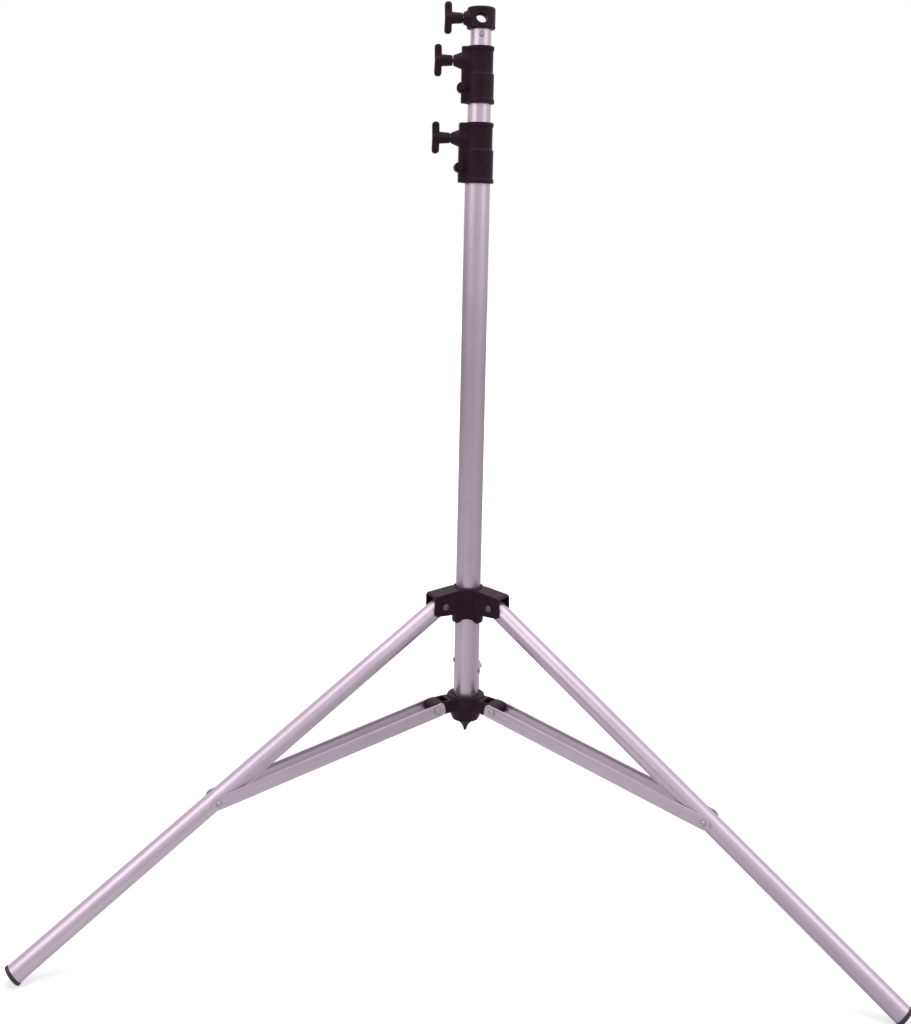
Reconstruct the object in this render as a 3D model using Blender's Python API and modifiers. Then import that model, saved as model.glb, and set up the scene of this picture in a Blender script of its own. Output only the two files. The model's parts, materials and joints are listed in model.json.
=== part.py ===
"""Studio light stand: a three-section telescoping column on a folding tripod.

Metres, +Z up, standing on the floor at z = 0. The left and right legs come towards -Y, the rear
leg goes to +Y, and the three T-knobs point to -X. The origin is the middle of the footprint.
"""

import math

import bmesh
import bpy
from mathutils import Matrix, Vector

OBJECT_NAME = "studio_light_stand"

# Clearances
SLIDE_GAP = 0.0003
SEAT_GAP = 0.0003
BRACE_SIDE_GAP = 0.0003

# Column: each riser slides in the tube below it, so its radius follows from the base tube's
BASE_TUBE_R = 0.0175
TUBE_WALL = 0.0012
BASE_TUBE_LENGTH = 0.8024
RISER_1_SHORTER = 0.0029
RISER_1_SHOWS = 0.0265
RISER_2_SHOWS = 0.0240
RISER_1_R = BASE_TUBE_R - TUBE_WALL - SLIDE_GAP
RISER_2_R = RISER_1_R - TUBE_WALL - SLIDE_GAP

# Legs, from the crown's pivot to the foot's end face, at the working spread
LEG_AZIMUTHS = {"left": 210, "right": 330, "rear": 90}
LEG_R = 0.0127
LEG_WALL = 0.0012
LEG_LENGTH = 0.6962
LEG_SLOPE = math.radians(34.28)
LEG_BEYOND_PIVOT = 0.007
LEG_PLUG_LENGTH = 0.030
LEG_PLUG_MOUTH_R = 0.0035
FOOT_RIM = 0.0012
FOOT_THICKNESS = 0.0045
FOOT_SPIGOT = 0.018
FOOT_CHAMFER = 0.0012
FOOT_TAPER = 0.0008
FOOT_FLAT = 0.0014
FLOOR_CUT_DEPTH = 0.05

# Braces: two flat bars on each side of the leg and of the spider's arm
SPIDER_BELOW_CROWN = 0.1473
BRACE_JOINT_ALONG_LEG = 0.3899
BRACE_WIDTH = 0.017
BRACE_THICKNESS = 0.0020
BRACE_END = 0.0095
BRACE_PIN_END = 0.0120
BRACE_PIN_CORNER_R = 0.0055

# Pins and rivets
PIN_R = 0.003
PIN_HEAD_R = 0.0048
PIN_HEAD_HEIGHT = 0.0018
BRACE_SCREW_HEAD_R = 0.0041
RIVET_R = 0.0021
RIVET_HEAD_R = 0.0036
RIVET_HEAD_HEIGHT = 0.0016
REST_RIVET_LENGTH = 0.009
RECEIVER_RIVET_LENGTH = 0.0050

# Crown, the casting that slides on the base tube and carries the legs
CROWN_PIVOT_R = 0.0431
CROWN_BUSH_WALL = 0.0011
CROWN_BUSH_INSET = 0.001
CROWN_WALL = 0.0028
CROWN_TOP = 0.0228
CROWN_EAR_TOP = 0.0158
CROWN_EAR_BOTTOM = 0.0127
CROWN_SKIRT_BOTTOM = 0.0277
CROWN_ARCH_R = 0.0139
CROWN_ARCH_RISE = 0.0080
CROWN_EAR_R = 0.0595
CROWN_EAR_WALL = 0.0025
CROWN_EAR_GAP = 0.0003
CROWN_WEB = 0.0030
CROWN_CORNER_R = 0.0045
CROWN_BEVEL = 0.0009
CROWN_CHAMFER = 0.0012
CROWN_BRACKET_DROP = 0.0015
CROWN_BRACKET_R = 0.008
CROWN_CHANNEL_ROOT = 0.0015

# Spider, the casting fixed at the foot of the base tube, which carries the braces
SPIDER_PIVOT_R = 0.052
SPIDER_TOP_R = 0.0265
SPIDER_MIDDLE_R = 0.0235
SPIDER_MIDDLE = 0.0070
SPIDER_BOTTOM_R = 0.0202
SPIDER_ABOVE = 0.0135
SPIDER_BELOW = 0.0195
SPIDER_ARM_R = 0.0600
SPIDER_ARM_TOP = 0.0092
SPIDER_ARM_BOTTOM = 0.0074
SPIDER_ARM_CORNER_R = 0.0070
SPIDER_ARM_ROOT_TOP = 0.0112
SPIDER_ARM_ROOT_BOTTOM = 0.0060
SPIDER_ARM_ROOT = 0.006
SPIDER_ARM_ROOT_R = 0.003
SPIDER_ARM_SWEEP_R = 0.012
SPIDER_CHAMFER = 0.001
SPIDER_WAIST = 0.0008
SPIDER_WAIST_DROP = 0.007
SPIDER_POCKET_WALL = 0.0035
SPIDER_POCKET_FLOOR = 0.0040
SPIDER_POCKET_SHORT = 0.010

# Plug that closes the base tube, with its pointed end
BASE_PLUG_SPIGOT = 0.020
BASE_PLUG_FLANGE = 0.0022
BASE_PLUG_INSET = 0.0015
BASE_PLUG_ROOT_R = 0.0135
BASE_PLUG_CONE = 0.0095
BASE_PLUG_CONE_R = 0.0052
BASE_PLUG_TIP = 0.0095
BASE_PLUG_TIP_R = 0.0014

# Plug that the first riser comes down on, and its two rivets
REST_PLUG_LENGTH = 0.034
REST_PLUG_HOLE_R = 0.0060
REST_RIVETS = {"left": (180, 0.0091), "right": (0, 0.0242)}

# Riser ends: a plug with a neck, on which the guide ring turns
END_PLUG_SPIGOT = 0.018
END_PLUG_NECK = 0.0128
END_PLUG_NECK_INSET = 0.0025
END_PLUG_FLANGE = 0.0040
END_PLUG_FLANGE_INSET = 0.001
END_PLUG_HOLE_R = 0.0040
GUIDE_RING_LENGTH = 0.0122

# Collars: a split socket on the tube below, a lined guide for the riser above
SOCKET_WALL = 0.0035
GUIDE_WALL = 0.0034
GUIDE_LENGTH = 0.0371
BUSH_WALL = 0.0010
BUSH_INSET = 0.0006
LOWER_SOCKET = 0.0457
UPPER_SOCKET = 0.0406
COLLAR_LIP = 0.0012
COLLAR_LIP_HEIGHT = 0.0050
COLLAR_CHAMFER = 0.0008
COLLAR_STEP = 0.0010
PAD_BLOCK = 0.0099
PAD_BLOCK_WIDTH = 0.0190
PAD_BLOCK_CORNER_R = 0.0035
BOSS_REACH = 0.0215
BOSS_BASE_R = 0.0122
BOSS_TIP_R = 0.0076
BOSS_CHAMFER = 0.0006
BOSS_SUNK = 0.0005
EAR_REACH = 0.0088
EAR_R = 0.0072
EAR_PROUD = 0.0006
EAR_FROM_BOTTOM = 0.0212
SLIT_WIDTH = 0.0016
SLIT_SHORT_OF_STEP = 0.0050
LOWER_KNOB_BELOW_TOP = 0.0216
UPPER_KNOB_BELOW_TOP = 0.0195

# Clamp bolt and nut of each collar
BOLT_R = 0.0025
BOLT_HEAD_R = 0.0043
BOLT_HEAD_HEIGHT = 0.0040
BOLT_SOCKET_R = 0.0023
BOLT_SOCKET_DEPTH = 0.0022
BOLT_CHAMFER = 0.0005
BOLT_PAST_NUT = 0.001
NUT_ACROSS_CORNERS_R = 0.0046
NUT_HEIGHT = 0.0038

# T-knobs, with a stud and the pad that it presses on the tube
STUD_R = 0.0031
STUD_CHAMFER = 0.0007
STUD_IN_KNOB = 0.0115
PRESSURE_PAD = 0.0030
KNOB_OFF_BOSS = 0.0006
KNOB_NECK_R = 0.0072
KNOB_NECK_FLARE = 0.0004
KNOB_NECK_LENGTH = 0.0035
KNOB_CHAMFER = 0.0008
KNOB_SHOULDER = 0.002
KNOB_CAP_INSET = 0.003
KNOB_HUB_R = 0.0086
KNOB_HUB_LENGTH = 0.0148
KNOB_BAR_THICKNESS = 0.0112
KNOB_BAR_WIDTH = 0.0106
KNOB_BAR_LENGTH = 0.0440
KNOB_BAR_CORNER_R = 0.0044
KNOB_BAR_WAIST = 0.0012
KNOB_BEVEL = 0.0028

# Receiver at the top: takes a 16 mm spigot, and has a cross hole
RECEIVER_R = 0.0195
RECEIVER_HEIGHT = 0.0290
RECEIVER_FILLET = 0.0025
RECEIVER_LIP = 0.0004
RECEIVER_LIP_HEIGHT = 0.0035
RECEIVER_CHAMFER = 0.0008
RECEIVER_SPIGOT = 0.0260
RECEIVER_BORE_R = 0.0081
RECEIVER_BORE_FLOOR = 0.0015
RECEIVER_CROSS_UP = 0.0140
RECEIVER_RIVET_DROP = 0.0090
RECEIVER_BOSS_X = 0.0248
RECEIVER_BOSS_TIP_R = 0.0088
RECEIVER_BOSS_ROOT_X = 0.0127
RECEIVER_BOSS_ROOT_R = 0.0142

# Way that each knob points, in degrees about +Z from +X
LOWER_KNOB_AZIMUTH = 189.0
UPPER_KNOB_AZIMUTH = 183.0
TOP_KNOB_AZIMUTH = 186.5

# Facets
COLUMN_STEPS = 24
LEG_STEPS = 18
SMALL_STEPS = 12
PIN_STEPS = 10
CORNER_STEPS = 3
SMOOTH_ANGLE = math.radians(32)
CUT_MARGIN = 0.002

# Heights and places that follow from the sizes above
FOOT_R = LEG_R + FOOT_RIM
CROWN_Z = LEG_LENGTH * math.sin(LEG_SLOPE) + FOOT_R * math.cos(LEG_SLOPE) - FOOT_FLAT
BRACE_JOINT_R = CROWN_PIVOT_R + BRACE_JOINT_ALONG_LEG * math.cos(LEG_SLOPE)
BRACE_JOINT_Z = CROWN_Z - BRACE_JOINT_ALONG_LEG * math.sin(LEG_SLOPE)
BRACE_RUN = BRACE_JOINT_R - SPIDER_PIVOT_R
SPIDER_Z = CROWN_Z - SPIDER_BELOW_CROWN
BRACE_RISE = SPIDER_Z - BRACE_JOINT_Z
BRACE_LENGTH = math.hypot(BRACE_RUN, BRACE_RISE)
BRACE_SLOPE = math.atan2(BRACE_RISE, BRACE_RUN)
BRACE_INNER_Y = LEG_R + BRACE_SIDE_GAP
BRACE_OUTER_Y = BRACE_INNER_Y + BRACE_THICKNESS
EAR_INNER_Y = LEG_R + CROWN_EAR_GAP
EAR_OUTER_Y = EAR_INNER_Y + CROWN_EAR_WALL
BASE_TUBE_BORE_R = BASE_TUBE_R - TUBE_WALL
RISER_1_BORE_R = RISER_1_R - TUBE_WALL
RISER_2_BORE_R = RISER_2_R - TUBE_WALL
BASE_TUBE_BOTTOM = SPIDER_Z - SPIDER_BELOW + SEAT_GAP
BASE_TUBE_TOP = BASE_TUBE_BOTTOM + BASE_TUBE_LENGTH
LOWER_COLLAR_Z = BASE_TUBE_TOP + SEAT_GAP - LOWER_SOCKET
LOWER_COLLAR_TOP = LOWER_COLLAR_Z + LOWER_SOCKET + GUIDE_LENGTH
UPPER_COLLAR_Z = LOWER_COLLAR_TOP + RISER_1_SHOWS
RISER_1_TOP = UPPER_COLLAR_Z + UPPER_SOCKET - SEAT_GAP
RISER_1_BOTTOM = RISER_1_TOP - (BASE_TUBE_LENGTH - RISER_1_SHORTER)
UPPER_COLLAR_TOP = UPPER_COLLAR_Z + UPPER_SOCKET + GUIDE_LENGTH
RECEIVER_Z = UPPER_COLLAR_TOP + RISER_2_SHOWS
END_PLUG_DROP = END_PLUG_NECK + END_PLUG_FLANGE
REST_PLUG_TOP = RISER_1_BOTTOM - END_PLUG_DROP - SEAT_GAP
RISER_2_TOP = RECEIVER_Z - SEAT_GAP
RISER_2_BOTTOM = RISER_1_BOTTOM + END_PLUG_SPIGOT + SEAT_GAP + END_PLUG_DROP

parts = bpy.data.collections.new(OBJECT_NAME)
cutters = bpy.data.collections.new("cutters")


def clear_scene():
    for old in list(bpy.data.objects):
        bpy.data.objects.remove(old)
    for collection in (parts, cutters):
        bpy.context.scene.collection.children.link(collection)
    cutters.hide_render = True


def material(name, colour, metallic, roughness):
    made = bpy.data.materials.new(name)
    made.use_nodes = True
    shader = made.node_tree.nodes["Principled BSDF"]
    shader.inputs["Base Color"].default_value = (*colour, 1.0)
    shader.inputs["Metallic"].default_value = metallic
    shader.inputs["Roughness"].default_value = roughness
    made.diffuse_color = (*colour, 1.0)
    return made


def empty(name, parent, location=(0.0, 0.0, 0.0), turn=(0.0, 0.0, 0.0)):
    """A frame that pieces are placed in: a seat, or a joint's axis."""
    made = bpy.data.objects.new(name, None)
    made.empty_display_size = 0.02
    parts.objects.link(made)
    made.parent = parent
    made.location = location
    made.rotation_euler = turn
    return made


def new_object(name, mesh, helper):
    made = bpy.data.objects.new(name, mesh)
    (cutters if helper else parts).objects.link(made)
    if helper:
        made.hide_render = True
        made.display_type = "WIRE"
    return made


def place(piece, parent, location=(0.0, 0.0, 0.0), turn=(0.0, 0.0, 0.0)):
    piece.parent = parent
    piece.location = location
    piece.rotation_euler = turn
    return piece


def turned(name, profile, steps, ring=False, helper=False):
    """A solid turned about Z, from (radius, height) points that run down its outer side."""
    mesh = bpy.data.meshes.new(name)
    points = [(radius, 0.0, height) for radius, height in profile]
    edges = [(i, i + 1) for i in range(len(points) - 1)]
    if ring:
        edges.append((len(points) - 1, 0))
    mesh.from_pydata(points, edges, [])
    made = new_object(name, mesh, helper)
    screw = made.modifiers.new("Screw", "SCREW")
    screw.steps = steps
    screw.render_steps = steps
    screw.use_merge_vertices = True
    screw.merge_threshold = 0.00001
    return made


def tube(name, outer, inner, low, high, steps, helper=False):
    profile = [(outer, high), (outer, low), (inner, low), (inner, high)]
    return turned(name, profile, steps, ring=True, helper=helper)


def rod(name, radius, low, high, steps, helper=True):
    profile = [(0.0, high), (radius, high), (radius, low), (0.0, low)]
    return turned(name, profile, steps, helper=helper)


def rounded(points, radii, steps=CORNER_STEPS):
    """An outline with its corners rounded: one radius for each point, 0 for a sharp one."""
    outline = []
    for i, (corner, radius) in enumerate(zip(points, radii)):
        corner = Vector(corner)
        back = (Vector(points[i - 1]) - corner).normalized()
        ahead = (Vector(points[(i + 1) % len(points)]) - corner).normalized()
        if radius == 0:
            outline.append(tuple(corner))
            continue
        half_angle = back.angle(ahead) / 2
        middle = corner + (back + ahead).normalized() * radius / math.sin(half_angle)
        start = corner + back * radius / math.tan(half_angle) - middle
        end = corner + ahead * radius / math.tan(half_angle) - middle
        sweep = start.angle_signed(end)
        for step in range(steps + 1):
            turn = Matrix.Rotation(-sweep * step / steps, 2)
            outline.append(tuple(middle + turn @ start))
    return outline


def plate(name, outline, width, bevel=0.0, segments=2, helper=False, upright=True):
    """A flat outline in X and Z, centred across Y; with upright False it lies in X and Y."""
    curve = bpy.data.curves.new(name, "CURVE")
    curve.dimensions = "2D"
    curve.fill_mode = "BOTH"
    curve.extrude = width / 2
    spline = curve.splines.new("POLY")
    spline.points.add(len(outline) - 1)
    for point, (x, y) in zip(spline.points, outline):
        point.co = (x, y, 0.0, 1.0)
    spline.use_cyclic_u = True
    flat = bpy.data.objects.new(name + "_outline", curve)
    bpy.context.scene.collection.objects.link(flat)
    graph = bpy.context.evaluated_depsgraph_get()
    mesh = bpy.data.meshes.new_from_object(flat.evaluated_get(graph))
    bpy.data.objects.remove(flat)
    bpy.data.curves.remove(curve)
    shape = bmesh.new()
    shape.from_mesh(mesh)
    bmesh.ops.remove_doubles(shape, verts=shape.verts, dist=0.000001)
    bmesh.ops.dissolve_limit(shape, angle_limit=0.001, verts=shape.verts, edges=shape.edges)
    bmesh.ops.recalc_face_normals(shape, faces=shape.faces)
    shape.to_mesh(mesh)
    shape.free()
    if upright:
        mesh.transform(Matrix.Rotation(math.pi / 2, 4, "X"))
    made = new_object(name, mesh, helper)
    if bevel:
        rounding = made.modifiers.new("Bevel", "BEVEL")
        rounding.width = bevel
        rounding.segments = segments
        rounding.limit_method = "ANGLE"
        rounding.angle_limit = math.radians(50)
    return made


def combine(piece, others, operation):
    """One Boolean with all of the helpers at once, which keeps the faces clean."""
    helpers = bpy.data.collections.new(piece.name + "_" + operation.lower())
    cutters.children.link(helpers)
    for other in others:
        helpers.objects.link(other)
    modifier = piece.modifiers.new(operation.title(), "BOOLEAN")
    modifier.operation = operation
    modifier.operand_type = "COLLECTION"
    modifier.collection = helpers
    modifier.solver = "EXACT"


def cut(piece, *others):
    combine(piece, others, "DIFFERENCE")


def join(piece, *others):
    combine(piece, others, "UNION")


def finish(finishes):
    """Turns each piece's modifiers into its mesh, shades it smooth and gives it its material."""
    bpy.context.view_layer.update()
    graph = bpy.context.evaluated_depsgraph_get()
    pieces = [piece for piece in parts.objects if piece.type == "MESH"]
    made = {piece: bpy.data.meshes.new_from_object(piece.evaluated_get(graph)) for piece in pieces}
    for piece, mesh in made.items():
        piece.modifiers.clear()
        mesh.name = piece.name
        mesh.shade_smooth()
        mesh.set_sharp_from_angle(angle=SMOOTH_ANGLE)
        mesh.materials.clear()
        mesh.materials.append(finishes[piece["finish"]])
        piece.data = mesh


def centre_footprint(stand):
    """Moves the stand so that the origin is the middle of its footprint, on the floor."""
    bpy.context.view_layer.update()
    corners = [
        piece.matrix_world @ vertex.co
        for piece in parts.objects
        if piece.type == "MESH"
        for vertex in piece.data.vertices
    ]
    for axis in (0, 1):
        values = [corner[axis] for corner in corners]
        stand.location[axis] -= (min(values) + max(values)) / 2


def along_x(location=(0.0, 0.0, 0.0)):
    """Placing that lays a piece turned about Z along X."""
    return {"location": location, "turn": (0.0, math.pi / 2, 0.0)}


def along_y(location=(0.0, 0.0, 0.0)):
    """Placing that lays a piece turned about Z along Y, its top towards -Y."""
    return {"location": location, "turn": (math.pi / 2, 0.0, 0.0)}


def about_z(degrees):
    return (0.0, 0.0, math.radians(degrees))


def cross_pin(name, half_length, frame, location):
    """A rivet with a shallow domed head at each end, lying along the frame's Y."""
    dome = PIN_HEAD_HEIGHT
    head = [
        (0.0, half_length + dome),
        (PIN_HEAD_R * 0.7, half_length + dome * 0.8),
        (PIN_HEAD_R, half_length + dome * 0.2),
        (PIN_R, half_length),
    ]
    profile = head + [(radius, -height) for radius, height in reversed(head)]
    made = turned(name, profile, PIN_STEPS)
    made["finish"] = "steel"
    return place(made, frame, **along_y(location))


def pin_hole(name, frame, location, half_length):
    made = rod(name, PIN_R + SEAT_GAP, -half_length, half_length, PIN_STEPS)
    return place(made, frame, **along_y(location))


def small_rivet(name, frame, tube_r, length):
    """A dome-headed rivet through a tube's wall, along the X of the frame. Gives its hole's cutter."""
    out = tube_r + SEAT_GAP
    rivet = turned(
        name,
        [
            (0.0, out + RIVET_HEAD_HEIGHT),
            (RIVET_HEAD_R * 0.7, out + RIVET_HEAD_HEIGHT * 0.8),
            (RIVET_HEAD_R, out),
            (RIVET_R, out),
            (RIVET_R, out - length),
            (0.0, out - length),
        ],
        PIN_STEPS,
    )
    rivet["finish"] = "steel"
    place(rivet, frame, **along_x())
    hole = rod(name + "_hole", RIVET_R + SEAT_GAP, out - length - SEAT_GAP, out + CUT_MARGIN, PIN_STEPS)
    return place(hole, frame, **along_x())


def make_base(stand):
    """The base tube, the plug at its foot and the plug that the first riser comes down on."""
    base_tube = tube(
        "base_tube", BASE_TUBE_R, BASE_TUBE_BORE_R, BASE_TUBE_BOTTOM, BASE_TUBE_TOP, COLUMN_STEPS
    )
    base_tube["finish"] = "aluminium"
    place(base_tube, stand)

    spigot_r = BASE_TUBE_BORE_R - SEAT_GAP
    flange_r = SPIDER_BOTTOM_R - BASE_PLUG_INSET
    flange_top = SPIDER_Z - SPIDER_BELOW - SEAT_GAP
    cone_top = flange_top - BASE_PLUG_FLANGE
    cone_low = cone_top - BASE_PLUG_CONE
    tip = cone_low - BASE_PLUG_TIP
    profile = [
        (0.0, BASE_TUBE_BOTTOM + BASE_PLUG_SPIGOT),
        (spigot_r, BASE_TUBE_BOTTOM + BASE_PLUG_SPIGOT),
        (spigot_r, flange_top),
        (flange_r, flange_top),
        (flange_r, cone_top),
        (BASE_PLUG_ROOT_R, cone_top),
        (BASE_PLUG_CONE_R, cone_low),
        (BASE_PLUG_CONE_R * 0.62, cone_low - BASE_PLUG_TIP * 0.35),
        (BASE_PLUG_TIP_R, tip + BASE_PLUG_TIP_R * 0.5),
        (0.0, tip),
    ]
    base_plug = turned("base_plug", profile, COLUMN_STEPS)
    base_plug["finish"] = "black_plastic"
    place(base_plug, stand)

    rest_r = BASE_TUBE_BORE_R - SEAT_GAP
    rest_low = REST_PLUG_TOP - REST_PLUG_LENGTH
    rest_plug = tube("riser_rest_plug", rest_r, REST_PLUG_HOLE_R, rest_low, REST_PLUG_TOP, COLUMN_STEPS)
    rest_plug["finish"] = "nylon"
    place(rest_plug, stand)
    holes = []
    for side, (azimuth, drop) in REST_RIVETS.items():
        seat = empty("rest_rivet_seat_" + side, stand, (0.0, 0.0, REST_PLUG_TOP - drop), about_z(azimuth))
        holes.append(small_rivet("rest_rivet_" + side, seat, BASE_TUBE_R, REST_RIVET_LENGTH))
    cut(base_tube, *holes)
    cut(rest_plug, *holes)


def make_spider(stand):
    """The fixed casting at the foot of the tube: a sleeve with three pocketed arms, each with its pin."""
    seat = empty("spider_seat", stand, (0.0, 0.0, SPIDER_Z))
    hub_r = SPIDER_TOP_R
    profile = [
        (0.0, SPIDER_ABOVE),
        (hub_r - SPIDER_CHAMFER, SPIDER_ABOVE),
        (hub_r, SPIDER_ABOVE - SPIDER_CHAMFER),
        (hub_r - SPIDER_WAIST, SPIDER_ABOVE - SPIDER_WAIST_DROP),
        (SPIDER_MIDDLE_R, -SPIDER_MIDDLE),
        (SPIDER_BOTTOM_R, SPIDER_CHAMFER - SPIDER_BELOW),
        (SPIDER_BOTTOM_R - SPIDER_CHAMFER, -SPIDER_BELOW),
        (0.0, -SPIDER_BELOW),
    ]
    spider = turned("spider", profile, COLUMN_STEPS)
    spider["finish"] = "black_cast"
    place(spider, seat)
    arm_width = 2 * (BRACE_INNER_Y - SEAT_GAP)
    root_r = BASE_TUBE_R * 0.5
    outline = rounded(
        [
            (root_r, SPIDER_ARM_ROOT_TOP),
            (hub_r + SPIDER_ARM_ROOT, SPIDER_ARM_ROOT_TOP),
            (SPIDER_ARM_R, SPIDER_ARM_TOP),
            (SPIDER_ARM_R, -SPIDER_ARM_BOTTOM),
            (SPIDER_PIVOT_R - SPIDER_ARM_ROOT, -SPIDER_ARM_BOTTOM),
            (hub_r + SPIDER_CHAMFER, -SPIDER_ARM_ROOT_BOTTOM),
            (root_r, -SPIDER_ARM_ROOT_BOTTOM),
        ],
        [0, 0, SPIDER_ARM_CORNER_R, SPIDER_ARM_CORNER_R, SPIDER_ARM_SWEEP_R, SPIDER_ARM_ROOT_R, 0],
    )
    pocket_near = hub_r + SPIDER_ARM_ROOT
    pocket_far = SPIDER_PIVOT_R - SPIDER_POCKET_SHORT
    pocket = [
        (pocket_near, SPIDER_ARM_TOP + CUT_MARGIN),
        (pocket_far, SPIDER_ARM_TOP + CUT_MARGIN),
        (pocket_far, SPIDER_POCKET_FLOOR - SPIDER_ARM_BOTTOM),
        (pocket_near, SPIDER_POCKET_FLOOR - SPIDER_ARM_BOTTOM),
    ]
    arms = []
    pockets = []
    holes = []
    for side, azimuth in LEG_AZIMUTHS.items():
        arm = plate("spider_arm_" + side, outline, arm_width, helper=True)
        arms.append(place(arm, seat, turn=about_z(azimuth)))
        pocket_width = arm_width - 2 * SPIDER_POCKET_WALL
        opening = plate("spider_pocket_" + side, pocket, pocket_width, helper=True)
        pockets.append(place(opening, seat, turn=about_z(azimuth)))
        hinge = empty("brace_hinge_" + side, seat, turn=about_z(azimuth))
        hinge.location = Matrix.Rotation(math.radians(azimuth), 3, "Z") @ Vector((SPIDER_PIVOT_R, 0.0, 0.0))
        cross_pin("spider_pin_" + side, BRACE_OUTER_Y + SEAT_GAP, hinge, (0.0, 0.0, 0.0))
        holes.append(pin_hole("spider_pin_hole_" + side, hinge, (0.0, 0.0, 0.0), LEG_R + CUT_MARGIN))
    bore_low = -SPIDER_BELOW - CUT_MARGIN
    bore = rod("spider_bore", BASE_TUBE_R + SEAT_GAP, bore_low, SPIDER_ABOVE + CUT_MARGIN, COLUMN_STEPS)
    join(spider, *arms)
    cut(spider, place(bore, seat), *pockets, *holes)


def make_crown(stand):
    """The sliding casting: a lined hub, three brackets that straddle the legs, and a scalloped skirt."""
    slide = empty("crown_slide", stand, (0.0, 0.0, CROWN_Z))
    bush_in = BASE_TUBE_R + SLIDE_GAP
    bush_out = bush_in + CROWN_BUSH_WALL
    bore_r = bush_out + SEAT_GAP
    hub_r = bore_r + CROWN_WALL
    bush_low = CROWN_BUSH_INSET - CROWN_EAR_BOTTOM
    bush = tube("crown_bush", bush_out, bush_in, bush_low, CROWN_TOP - CROWN_BUSH_INSET, COLUMN_STEPS)
    bush["finish"] = "nylon"
    place(bush, slide)

    profile = [
        (0.0, CROWN_TOP),
        (hub_r - CROWN_CHAMFER, CROWN_TOP),
        (hub_r, CROWN_TOP - CROWN_CHAMFER),
        (hub_r, -CROWN_SKIRT_BOTTOM),
        (0.0, -CROWN_SKIRT_BOTTOM),
    ]
    crown = turned("crown", profile, COLUMN_STEPS)
    crown["finish"] = "black_cast"
    place(crown, slide)

    root_r = BASE_TUBE_R * 0.5
    slope = (CROWN_TOP - CROWN_EAR_TOP) / (CROWN_EAR_R - hub_r)
    bracket = rounded(
        [
            (root_r, CROWN_TOP - CROWN_BRACKET_DROP),
            (hub_r, CROWN_TOP - CROWN_BRACKET_DROP),
            (CROWN_EAR_R, CROWN_EAR_TOP),
            (CROWN_EAR_R, -CROWN_EAR_BOTTOM),
            (root_r, -CROWN_EAR_BOTTOM),
        ],
        [0, CROWN_BRACKET_R, CROWN_CORNER_R, CROWN_CORNER_R, 0],
    )
    channel_root = hub_r + CROWN_CHANNEL_ROOT
    channel_end = CROWN_EAR_R + CUT_MARGIN
    channel = [
        (channel_root, -CROWN_EAR_BOTTOM - CUT_MARGIN),
        (channel_end, -CROWN_EAR_BOTTOM - CUT_MARGIN),
        (channel_end, CROWN_TOP - CROWN_WEB - slope * (channel_end - hub_r)),
        (channel_root, CROWN_TOP - CROWN_WEB - slope * (channel_root - hub_r)),
    ]
    blocks = []
    cuts = []
    for side, azimuth in LEG_AZIMUTHS.items():
        block = plate(
            "crown_bracket_" + side, bracket, 2 * EAR_OUTER_Y, bevel=CROWN_BEVEL, segments=1, helper=True
        )
        blocks.append(place(block, slide, turn=about_z(azimuth)))
        opening = plate("crown_channel_" + side, channel, 2 * EAR_INNER_Y, helper=True)
        cuts.append(place(opening, slide, turn=about_z(azimuth)))
        hinge = empty("leg_hinge_" + side, slide, turn=(0.0, LEG_SLOPE, math.radians(azimuth)))
        hinge.location = Matrix.Rotation(math.radians(azimuth), 3, "Z") @ Vector((CROWN_PIVOT_R, 0.0, 0.0))
        cross_pin("crown_pin_" + side, EAR_OUTER_Y + SEAT_GAP, hinge, (0.0, 0.0, 0.0))
        cuts.append(pin_hole("crown_pin_hole_" + side, hinge, (0.0, 0.0, 0.0), EAR_OUTER_Y + CUT_MARGIN))
        arch_z = CROWN_ARCH_RISE - CROWN_ARCH_R - CROWN_SKIRT_BOTTOM
        bay = empty("crown_bay_" + side, slide, (0.0, 0.0, arch_z), about_z(azimuth + 60))
        arch = rod("crown_arch_" + side, CROWN_ARCH_R, BASE_TUBE_R * 0.6, hub_r + CUT_MARGIN, SMALL_STEPS)
        cuts.append(place(arch, bay, **along_x()))
    bore = rod("crown_bore", bore_r, -CROWN_SKIRT_BOTTOM - CUT_MARGIN, CROWN_TOP + CUT_MARGIN, COLUMN_STEPS)
    join(crown, *blocks)
    cut(crown, place(bore, slide), *cuts)


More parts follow.
